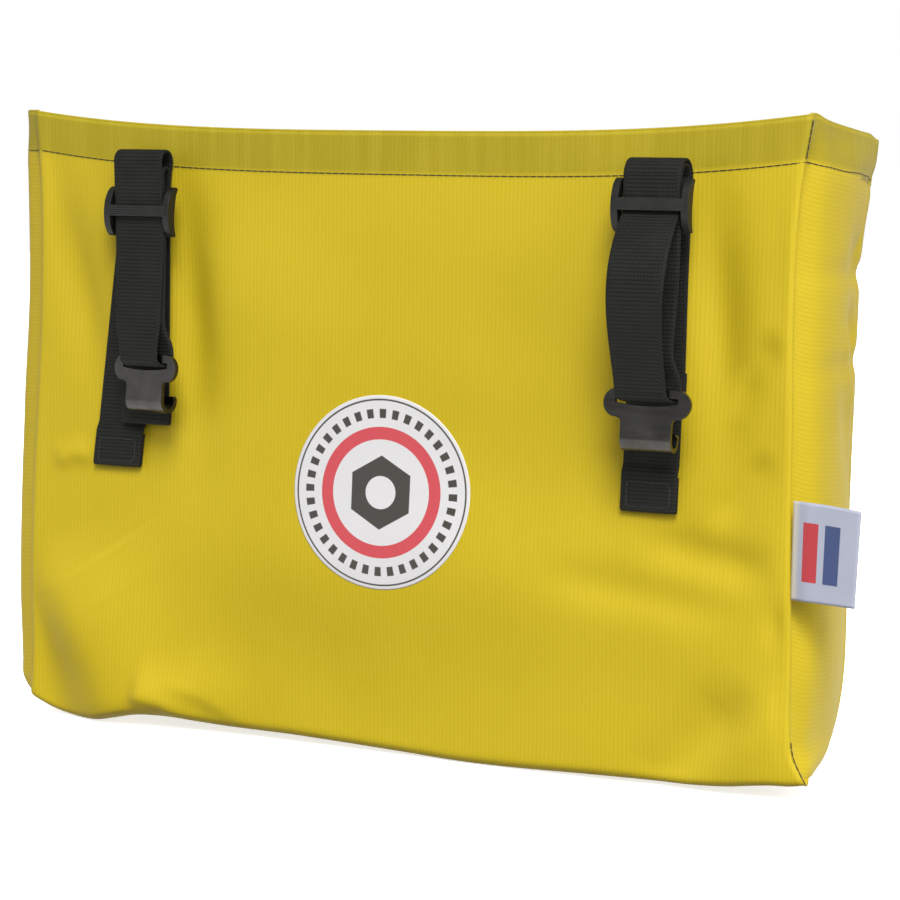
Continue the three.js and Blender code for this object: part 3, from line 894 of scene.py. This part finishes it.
class Strap:
    """One strap, placed from its CAD nodes and joints. Its own plane is Y-Z, with the origin
    on the hinge where the webbing turns over the hem; lengths are in millimetres."""

    def __init__(self, side, glide_drop, tail_length, tail_turn, tail_hang, bow):
        self.side = side
        self.glide_drop = glide_drop
        self.tail_length = tail_length
        self.tail_turn = tail_turn
        self.tail_hang = tail_hang
        self.bow = bow
        self.origin = np.array(joints[f"{side}_strap_swing"]["pos_m"]) / MM
        self.fold_radius = FRONT - ANCHOR_GAP - WEB_THICKNESS / 2 - self.origin[1]
        anchor_low, anchor_high = box(f"{side}_anchor_webbing")
        self.anchor_length = self.origin[2] - anchor_low[2]
        shift = anchor_high[0] - anchor_low[0] - WEB_WIDTH
        leftwards = self.origin[0] - anchor_low[0] > anchor_high[0] - self.origin[0]
        self.anchor_slope = (-shift if leftwards else shift) / self.anchor_length
        up = joints[f"{side}_glide_slide"]["axis"]
        self.lean = math.atan2(up[1], up[2])
        self.loop_slope = -up[0] / math.hypot(up[1], up[2])
        pivot = self.unlean(np.array(joints[f"{side}_hook_pivot"]["pos_m"]) / MM - self.origin)
        self.pivot_y = pivot[1]
        self.hook_drop = -pivot[2]
        axis = self.unlean(np.array(joints[f"{side}_hook_pivot"]["axis"]))
        self.yaw = math.atan2(-axis[1], -axis[0])

    def named(self, part):
        return f"{self.side}_{part}"

    def unlean(self, v):
        c, s = math.cos(self.lean), math.sin(self.lean)
        return np.array([v[0], v[1] * c - v[2] * s, v[1] * s + v[2] * c])

    def place_loop(self, x, y, z):
        """From the leaning loop's own frame to the model's."""
        c, s = math.cos(self.lean), math.sin(self.lean)
        return np.stack([x, y * c + z * s, z * c - y * s], -1) + self.origin

    def place_twisted(self, x, y, z):
        """As place_loop, for the webbing: the strands run sideways to the hook, crowd into its
        slot and turn to its angle, and the tail hangs straight from its turn."""
        drop = -z
        on_tail = y > TAIL_DIVIDE * drop
        angle = smoothstep(self.hook_drop - SPREAD, self.hook_drop, drop) * self.yaw
        angle = np.where(on_tail, 0, angle)
        moved = np.where(on_tail, np.minimum(drop, self.tail_turn), drop) * self.loop_slope
        near_hook = smoothstep(self.hook_drop - 58, self.hook_drop - 4, drop)
        near_hook = np.where(on_tail, 0, near_hook)
        towards_rear = np.clip((y - self.pivot_y) / BIGHT_RADIUS, -1, 1)
        x = x * (1 - 0.1 * near_hook) + HOOK_SKEW * near_hook * towards_rear
        dy = y - self.pivot_y
        turned_x = x * np.cos(angle) - dy * np.sin(angle)
        turned_y = self.pivot_y + x * np.sin(angle) + dy * np.cos(angle)
        return self.place_loop(turned_x + moved, turned_y, z)

    def place_anchor(self, x, y, z):
        return np.stack([x - z * self.anchor_slope, y, z], -1) + self.origin

    def place_fold(self, x, y, z):
        return np.stack([x, y, z], -1) + self.origin

    def anchor_parts(self):
        """The sewn strip, from its folded-under lower end up to the fold."""
        near = self.fold_radius
        far = near - 2 * END_FOLD_RADIUS
        low = -self.anchor_length + WEB_THICKNESS / 2 + END_FOLD_RADIUS
        ease = low + END_FOLD + WEB_GAP
        turn = arc(((near + far) / 2, low), END_FOLD_RADIUS, 0, -180)
        return [[(near, low + END_FOLD), (near, low)], turn, [(far, ease)],
                bezier((far, ease), (far, ease + 3), (near, ease + 3), (near, ease + 6)),
                [(near, 0)]]

    def fold_parts(self):
        return [arc((0, 0), self.fold_radius, 0, 180 - math.degrees(self.lean), 40)]

    def front_parts(self):
        """Down the front of the loop, bowed forward between the tri-glide and the hook."""
        front = -self.fold_radius
        z = np.linspace(0, -self.hook_drop, 60)
        share = np.clip((-z - self.glide_drop - 3) / (self.hook_drop - self.glide_drop - 3), 0, 1)
        bowed = front - self.bow * np.sin(math.pi * share**0.8) ** 1.3
        return [np.stack([bowed, z], 1)]

    def rear_parts(self):
        """Round the hook's bar, up through the tri-glide, over, and down as the tail."""
        front = -self.fold_radius
        rear = front + 2 * BIGHT_RADIUS
        upper = front + WEB_THICKNESS + WEB_GAP
        tail = self.fold_radius - WEB_THICKNESS - TAIL_GAP
        radius = (tail - upper) / 2
        top = -self.tail_turn
        spread = SPREAD - self.hook_drop
        low = -self.tail_length + WEB_THICKNESS / 2 + END_FOLD_RADIUS
        end = tail + (top - low) * self.tail_hang * math.tan(self.lean)
        back = end + 2 * END_FOLD_RADIUS
        return [arc((front + BIGHT_RADIUS, -self.hook_drop), BIGHT_RADIUS, 180, 360),
                bezier((rear, -self.hook_drop), (rear, spread - SPREAD / 2),
                       (upper, spread - SPREAD / 2), (upper, spread)),
                [(upper, top)],
                arc((upper + radius, top), radius, 180, 0),
                [(end, low)],
                arc((end + END_FOLD_RADIUS, low), END_FOLD_RADIUS, 180, 360),
                [(back, low + TAIL_HEM)]]


# ---- hook and tri-glide

HOOK_PLATE = 2.0
HOOK_LOBE = 6.2
HOOK_LOBE_X = 13.05
HOOK_BAR = 3.6
HOOK_SLOT = (27.8, 3.4)
TONGUE_WIDTH = 22.5
HOOK_LENGTH = 24.5
HOOK_TURN = 4.2
HOOK_LIP = 7.8
GLIDE_SIZE = (34.0, 22.5)
GLIDE_RAIL = 3.1
GLIDE_OUTER_BAR = 3.5
GLIDE_CENTRE_BAR = 5.0
GLIDE_THICKNESS = 2.2
GLIDE_FRONT = -2.1
GLIDE_REAR = 3.8


def rounded_rectangle(half_x, half_z, radius, centre_z=0.0, count=10):
    parts = []
    for x, z, start in ((1, -1, -90), (1, 1, 0), (-1, 1, 90), (-1, -1, 180)):
        centre = (x * (half_x - radius), centre_z + z * (half_z - radius))
        parts.append(arc(centre, radius, start, start + 90, count))
    return np.concatenate(parts)


def solid_object(name, bm):
    mesh = bpy.data.meshes.new(name)
    bm.to_mesh(mesh)
    bm.free()
    mesh.shade_smooth()
    made = link(name, mesh)
    even = made.modifiers.new("even shading", "WEIGHTED_NORMAL")
    even.keep_sharp = True
    return made


def plate(name, outlines, thickness, edge, cuts, shape):
    """A flat plate with holes, its edges rounded, cut into strips at the given heights and
    then bent: shape moves points from the flat plate's (x, depth, z) to their place."""
    bm = bmesh.new()
    borders = []
    for outline in outlines:
        ring = [bm.verts.new((x, 0, z)) for x, z in outline]
        borders += [bm.edges.new((a, b)) for a, b in zip(ring, ring[1:] + ring[:1])]
    bmesh.ops.triangle_fill(bm, use_beauty=True, use_dissolve=False, edges=borders)
    for height in cuts:
        whole = bm.verts[:] + bm.edges[:] + bm.faces[:]
        bmesh.ops.bisect_plane(bm, geom=whole, dist=1e-5, plane_co=(0, 0, height),
                               plane_no=(0, 0, 1))
    made = bmesh.ops.extrude_face_region(bm, geom=bm.faces[:])
    for element in made["geom"]:
        if isinstance(element, bmesh.types.BMVert):
            element.co.y += thickness
    bmesh.ops.translate(bm, vec=(0, -thickness / 2, 0), verts=bm.verts[:])
    bmesh.ops.recalc_face_normals(bm, faces=bm.faces[:])
    rims = [e for e in bm.edges if len(e.link_faces) == 2 and e.calc_face_angle(0) > 1.0]
    bmesh.ops.bevel(bm, geom=rims, offset=edge, segments=3, profile=0.5, affect="EDGES",
                    clamp_overlap=True)
    points = np.array([v.co for v in bm.verts])
    for vertex, place in zip(bm.verts, shape(*points.T)):
        vertex.co = Vector(place) * MM
    return solid_object(name, bm)


def hook_outline():
    tongue = TONGUE_WIDTH / 2
    lobe_z = HOOK_BAR / 2 - HOOK_LOBE
    straight = -HOOK_LENGTH + HOOK_TURN + HOOK_PLATE / 2
    end = straight - math.pi * HOOK_TURN - (HOOK_LIP - HOOK_TURN - HOOK_PLATE / 2)
    shoulder = lobe_z - HOOK_LOBE
    corner = arc((tongue - 1.5, end + 1.5), 1.5, -90, 0, 6)
    blend = bezier((tongue, shoulder - 2.4), (tongue, shoulder - 0.6), (tongue + 0.4, shoulder + 0.1),
                   (HOOK_LOBE_X + 1.4, shoulder + 0.35), 10)
    lobe = arc((HOOK_LOBE_X, lobe_z), HOOK_LOBE, -68, 90, 26)
    half = np.concatenate([corner, blend, lobe])
    mirrored = half[::-1] * np.array([-1, 1])
    top = -HOOK_BAR / 2
    width, height = HOOK_SLOT
    sag = bezier((-width / 2, top - height + 1), (-width / 4, top - height - 0.6),
                 (width / 4, top - height - 0.6), (width / 2, top - height + 1), 18)
    slot = np.concatenate([[(width / 2, top), (-width / 2, top)], sag])
    return [np.concatenate([half, mirrored]), slot], straight, end


def make_hook(strap):
    outlines, straight, end = hook_outline()
    cuts = np.linspace(straight + 0.2, end, 22)[:-1]

    def bent(x, y, z):
        run = np.clip(straight - z, 0, math.pi * HOOK_TURN)
        over = np.maximum(straight - z - math.pi * HOOK_TURN, 0)
        angle = run / HOOK_TURN
        centre_y = HOOK_TURN * (1 - np.cos(angle))
        centre_z = np.where(run > 0, straight - HOOK_TURN * np.sin(angle), z) + over
        y_out = centre_y + y * np.cos(angle)
        z_out = centre_z + y * np.sin(angle)
        c, s = math.cos(strap.yaw), math.sin(strap.yaw)
        moved_x = x * c - y_out * s + strap.hook_drop * strap.loop_slope
        moved_y = x * s + y_out * c + strap.pivot_y
        return strap.place_loop(moved_x, moved_y, z_out - strap.hook_drop)

    return plate(strap.named("steel_hook"), outlines, HOOK_PLATE, 0.45, cuts, bent)


def rail_outline():
    """The tri-glide's side rail from its end: hollow at the rear, bowed forward in front."""
    half = GLIDE_SIZE[1] / 2
    front = GLIDE_FRONT - GLIDE_THICKNESS / 2
    rear = GLIDE_REAR + GLIDE_THICKNESS / 2
    ease = GLIDE_REAR - GLIDE_THICKNESS / 2
    rise = bezier((ease, half), (ease - 3.6, 0.88 * half), (front, 0.5 * half), (front, 0), 12)
    fall = (rise * np.array([1, -1]))[::-1][1:]
    hollow = bezier((rear, 1 - half), (rear - 2.8, 4 - half), (rear - 2.8, half - 4),
                    (rear, half - 1), 16)[1:-1]
    return np.concatenate([arc((rear - 1, half - 1), 1, 0, 90, 5), rise, fall,
                           arc((rear - 1, 1 - half), 1, -90, 0, 5), hollow])


def join_objects(name, pieces):
    """One object made of several closed shells."""
    bm = bmesh.new()
    for piece in pieces:
        bm.from_mesh(piece.data)
        bpy.data.objects.remove(piece)
    return solid_object(name, bm)


def make_glide(strap):
    """Two outer bars behind the webbing, a ridged centre bar before it, and two side rails."""
    half_x, half_z = GLIDE_SIZE[0] / 2, GLIDE_SIZE[1] / 2
    bar_x = half_x - 1.2
    outer_z = half_z - GLIDE_OUTER_BAR / 2

    def place(x, y, z):
        lift = strap.glide_drop * strap.loop_slope
        return strap.place_loop(x + lift, y - strap.fold_radius, z - strap.glide_drop)

    def ridged(x, y, z):
        on_bar = (y < 0) & (np.abs(z) < 2.05)
        ridge = 0.18 * (0.5 + 0.5 * np.cos(z * 2 * math.pi))
        return place(x, y + GLIDE_FRONT - np.where(on_bar, ridge, 0), z)

    def bar(height, middle, cuts, shape):
        outline = rounded_rectangle(bar_x, height / 2, 0.8, middle, 4)
        return plate("bar", [outline], GLIDE_THICKNESS, 0.5, cuts, shape)

    def rail(side):
        offset = side * (half_x - GLIDE_RAIL / 2)
        return plate("rail", [rail_outline()], GLIDE_RAIL, 1.1, [],
                     lambda x, y, z: place(offset - y, x, z))

    pieces = [bar(GLIDE_CENTRE_BAR, 0, np.linspace(-2, 2, 33), ridged)]
    for middle in (-outer_z, outer_z):
        pieces.append(bar(GLIDE_OUTER_BAR, middle, [], lambda x, y, z: place(x, y + GLIDE_REAR, z)))
    return join_objects(strap.named("glide_frame"), pieces + [rail(-1), rail(1)])


# ---- the bag is put together

TAPE_EDGES = (0.027, 0.073)
TAPE_WIDTH = 9.0
TAPE_THICKNESS = 1.2
TAPE_GAP = 0.9
LABEL_SHARE = 0.98
LABEL_THICKNESS = 0.26
LABEL_LIFT = 0.28
LABEL_COLUMNS = 144
TAG_ROOT_X = 185.2
TAG_CLOTH = 0.22
HEM_THREAD_PITCH = 3.4
HEM_THREAD_RADIUS = 0.22
THREAD_PITCH = 2.6
THREAD_RADIUS = 0.26

cloth = cloth_material()
thread = thread_material()
tape = tape_material()
web = webbing_material()
plastic = plastic_material()
steel = steel_material()


def finish_piece(piece, material, body, slot, *nodes):
    piece.data.materials.clear()
    piece.data.materials.append(material)
    if body:
        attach(piece, body)
    if nodes:
        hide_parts(*nodes)
    return piece


def add_bag():
    body = finish_piece(make_wrap(), cloth, "bag", "bag_cloth",
                        "front_panel", "bottom_panel", "back_panel")
    left = gusset_grid(-1)
    right = gusset_grid(1)
    walls = (("front", wrap_grid, False), ("back", wrap_grid[::-1], True),
             ("left", left, True), ("right", right, False))
    sides = [finish_piece(make_gusset(f"{name}_side", grid, flip), cloth, "bag", "bag_cloth",
                          f"{name}_gusset") for name, grid, flip in walls[2:]]
    hems = [finish_piece(make_hem(f"{name}_hem_fold", grid, flip), cloth, "bag", "hem_cloth",
                         f"{name}_hem") for name, grid, flip in walls]
    runs = [line_below_top(wrap_grid, False, lambda s: 17.6 + 1.6 * s),
            line_below_top(right, False, lambda s: 19.6 - 2.2 * s + 0.25 * math.sin(19 * s)),
            line_below_top(wrap_grid[::-1], True, lambda s: 17.5),
            line_below_top(left, True, lambda s: 18.2)]
    # The right front seam shows its thread above the hem's row and at the bag's foot.
    last = COLUMNS - 1
    for top, low in ((1, row_at_depth(wrap_grid, last, 18)), (FRONT_ROWS - 9, FRONT_ROWS + 4)):
        seam = sample(wrap_grid, np.linspace(top, low, 12), last)
        runs.append(seam + np.array([0.25, -0.25, 0]))
    stitches = make_stitches("hem_stitches", runs, HEM_THREAD_PITCH, HEM_THREAD_RADIUS)
    finish_piece(stitches, thread, "bag", "thread", "hem_stitching")


def add_bindings():
    """Tape bound over each seam, inside the bag, from hem to hem."""
    for name, sign in (("left", -1), ("right", 1)):
        u = np.sort(sign * (1 - np.linspace(*TAPE_EDGES, 8)))
        grid = wrap(u)
        grid = grid - normals_of(grid) * (CLOTH + TAPE_GAP)
        depth = path_length(grid)[:, 0]
        grid = grid[np.minimum(depth, depth[-1] - depth) > HEM + 1.5]
        weave = weave_of(np.linspace(0, TAPE_WIDTH, 8), path_length(grid), 0.0)
        piece = cloth_object(f"{name}_binding", grid, weave, False, TAPE_THICKNESS)
        finish_piece(piece, tape, "bag", "binding_tape", f"{name}_seam_binding")


def front_y(x, z):
    """The front's outer face, away from its edges."""
    return FRONT - front_relief(x, z)


def add_label():
    low, high = box("round_label")
    radius = LABEL_SHARE * (high[0] - low[0]) / 2
    centre = (low + high) / 2
    rings = np.concatenate([[0], np.linspace(0.02, 0.97, 30), [0.99, 1.0]])[:, None] * radius
    angles = np.linspace(0, 2 * math.pi, LABEL_COLUMNS, endpoint=False)[None, :]
    across = rings * np.cos(angles)
    up = rings * np.sin(angles)
    x = centre[0] + across
    z = centre[2] + up
    y = front_y(x, z) - LABEL_LIFT
    y[-1] += 0.12
    grid = np.stack([x, y, z], -1)
    # The first ring is a single point in the middle, which comes last in the mesh.
    points = np.concatenate([grid[1:].reshape(-1, 3), grid[:1, 0]])
    weave = weave_of(across, up, 0.0)
    weave = np.concatenate([weave[1:].reshape(-1, 3), weave[:1, 0]])
    faces = grid_faces(len(rings) - 1, LABEL_COLUMNS, True)[:, ::-1].tolist()
    middle = len(points) - 1
    faces += [[middle, i, (i + 1) % LABEL_COLUMNS] for i in range(LABEL_COLUMNS)]
    label = make_object("printed_disc", points, faces, weave)
    thicken(label, LABEL_THICKNESS)
    finish_piece(label, label_material(radius), "bag", "label_vinyl", "round_label")


def add_tag():
    """A folded ribbon sewn into the seam: two layers that meet in a fold at the free end."""
    low, high = box("side_tag")
    width = high[0] - TAG_ROOT_X
    height = high[2] - low[2]
    half = np.linspace(0, 1, 26)
    run = np.concatenate([half, [1.012], half[::-1]])[:, None]
    layer = np.concatenate([np.full(26, -1.0), [0], np.full(26, 1.0)])[:, None]
    up = np.linspace(0, 1, 34)[None, :]
    gap = 0.42 * layer * (0.35 + 0.65 * smoothstep(0.02, 0.3, run))
    droop = -2.4 * run**1.5 * (0.5 + 0.5 * up)
    x = TAG_ROOT_X + width * np.minimum(run, 1.01) - 1.6 * run * (1 - up)
    sway = -1.1 * smoothstep(0, 0.25, run) + 0.5 * np.sin(math.pi * run) * (up - 0.4)
    y = FRONT + 1.4 + sway - 0.3 * run + gap
    z = low[2] - 0.4 + (height + 0.8) * up + droop
    grid = np.stack(np.broadcast_arrays(x, y, z), -1)
    weave = weave_of(np.minimum(run, 1) * width, up * height, 0.0)
    tag = cloth_object("folded_tag", grid, weave, True, TAG_CLOTH)
    bpy.context.view_layer.objects.active = tag
    bpy.ops.object.modifier_apply(modifier="thickness")
    finish_piece(tag, tag_material(width, height), None, "tag_cloth", "side_tag")
    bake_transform(tag)


def add_strap(strap):
    body = strap.named("strap")
    anchor = web_mesh(strap.named("sewn_webbing"), strap.anchor_parts(), strap.place_anchor)
    finish_piece(anchor, web, "bag", "webbing", strap.named("anchor_webbing"))

    turned = web_mesh(strap.named("webbing_fold"), strap.fold_parts(), strap.place_fold)
    finish_piece(turned, web, None, "webbing", strap.named("strap_fold"))
    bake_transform(turned)

    parts = strap.front_parts() + strap.rear_parts()
    before = 0.0
    if strap.bow:
        front = web_mesh(strap.named("loop_front"), strap.front_parts(), strap.place_twisted)
        finish_piece(front, web, body, "webbing")
        strap.named("glide_slide")
        Vector(strap.place_loop(0, -strap.fold_radius, 0) * MM)
        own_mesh(front)
        parts = strap.rear_parts()
        before = strap.hook_drop
    loop = web_mesh(strap.named("loop_webbing"), parts, strap.place_twisted, before)
    finish_piece(loop, web, body, "webbing", strap.named("strap_webbing"))

    finish_piece(make_glide(strap), plastic, strap.named("slide"), "black_nylon",
                 strap.named("tri_glide"))
    finish_piece(make_hook(strap), steel, strap.named("hanger"), "black_steel",
                 strap.named("hook"))
    add_strap_stitches(strap)


def add_strap_stitches(strap):
    """A box of stitches at the sewn strip's lower end and a row at the hem."""
    half = WEB_WIDTH / 2 - 3
    skin = WEB_THICKNESS / 2 + 0.08
    low = -strap.anchor_length + 2.6
    high = low + END_FOLD - 3.5
    corners = np.array([(-half, low), (half, low), (half, high), (-half, high), (-half, low)])
    row = np.array([(-half - 1, -2.2), (half + 1, -2.2)])
    end_face = strap.fold_radius - 2 * END_FOLD_RADIUS - skin
    for made, node, run, face in (("box_stitches", "box_stitch", corners, end_face),
                                  ("tack_stitches", "hem_tack", row, strap.fold_radius - skin)):
        placed = strap.place_anchor(run[:, 0], np.full(len(run), face), run[:, 1])
        stitches = make_stitches(strap.named(made), [placed], THREAD_PITCH, THREAD_RADIUS)
        finish_piece(stitches, thread, "bag", "thread", strap.named(node))


add_bag()
add_bindings()
add_label()
add_tag()
add_strap(Strap("left", 23, 120.5, 5.8, 0.87, 0))
add_strap(Strap("right", 12, 90.6, 0, 0.77, 16))


# ---- camera, light and floor

VIEW_TARGET = Vector((0.0089, -0.0034, 0.1355))
VIEW_DISTANCE = 1.15
VIEW_AZIMUTH = math.radians(24.46)
VIEW_ELEVATION = math.radians(6.58)
VIEW_ROLL = math.radians(0.77)
LAMP_TARGET = Vector((0, 0, 0.14))
FLOOR_RADII = (400, 1200, 6000)
FLOOR_SIDES = 96


def add_camera():
    back = Vector((math.sin(VIEW_AZIMUTH) * math.cos(VIEW_ELEVATION),
                   -math.cos(VIEW_AZIMUTH) * math.cos(VIEW_ELEVATION),
                   math.sin(VIEW_ELEVATION)))
    right = (-back).cross(Vector((0, 0, 1))).normalized()
    up = back.cross(right)
    rolled_right = right * math.cos(VIEW_ROLL) + up * math.sin(VIEW_ROLL)
    rolled_up = up * math.cos(VIEW_ROLL) - right * math.sin(VIEW_ROLL)
    data = bpy.data.cameras.new("camera")
    data.lens = 100
    data.sensor_width = 36
    camera = link("camera", data)
    turn = Matrix((rolled_right, rolled_up, back)).transposed().to_4x4()
    camera.matrix_world = Matrix.Translation(VIEW_TARGET + back * VIEW_DISTANCE) @ turn
    bpy.context.scene.camera = camera


def add_light(name, kind, strength, direction, place=(0, 0, 0), **settings):
    data = bpy.data.lights.new(name, kind)
    data.energy = strength
    for setting, value in settings.items():
        setattr(data, setting, value)
    light = link(name, data)
    light.location = place
    light.rotation_euler = Vector(direction).to_track_quat("-Z", "Y").to_euler()


def add_lights():
    """A soft overhead sun, and square lamps about the bag, as (place, size, watts)."""
    add_light("overhead", "SUN", 2.3, (-0.3, 0.6, -0.75), angle=math.radians(24))
    lamps = {"left": ((-1.0, -0.85, 0.32), 0.7, 1.2), "front": ((0.5, -0.9, 0.8), 0.6, 4.5),
             "side": ((1.3, -0.4, 0.6), 0.8, 6), "rear": ((-0.6, 1.2, 0.5), 0.9, 9)}
    for name, (place, size, watts) in lamps.items():
        direction = LAMP_TARGET - Vector(place)
        add_light(name, "AREA", watts, direction, place, shape="SQUARE", size=size)


def add_floor():
    angles = np.linspace(0, 2 * math.pi, FLOOR_SIDES, endpoint=False)
    points = [(0, 0, 0)]
    for radius in FLOOR_RADII:
        points.extend((radius * math.cos(a), radius * math.sin(a), 0) for a in angles)
    faces = [(0, 1 + i, 1 + (i + 1) % FLOOR_SIDES) for i in range(FLOOR_SIDES)]
    faces += (1 + grid_faces(len(FLOOR_RADII), FLOOR_SIDES, True)[:, [0, 3, 2, 1]]).tolist()
    floor = make_object("floor", points, faces)
    floor.data.materials.append(floor_material())
    floor.visible_diffuse = False


def add_world():
    """White behind the bag. Its light is soft, and weaker from below."""
    world = bpy.data.worlds.new("studio")
    bpy.context.scene.world = world
    n = Nodes(world)
    white = (1, 1, 1, 1)
    place = n.add("TexCoord").outputs["Generated"]
    height = n.add("SeparateXYZ", vector=place).outputs["Z"]
    lit = n.add("Background", color=white, strength=n.ramp(height, -0.25, 0.35, 0.14, 0.44))
    shown = n.add("Background", color=white, strength=1.0)
    chosen = n.add("MixShader", fac=n.add("LightPath").outputs["Is Camera Ray"])
    n.plug(chosen.inputs[1], lit.outputs[0])
    n.plug(chosen.inputs[2], shown.outputs[0])
    n.add("OutputWorld", surface=chosen.outputs[0])


def add_studio():
    add_camera()
    add_world()
    add_lights()
    add_floor()
    bpy.context.scene.view_settings.view_transform = "Standard"


add_studio()


def corners(bounds):
    return [list(map(float, corner)) for corner in bounds]
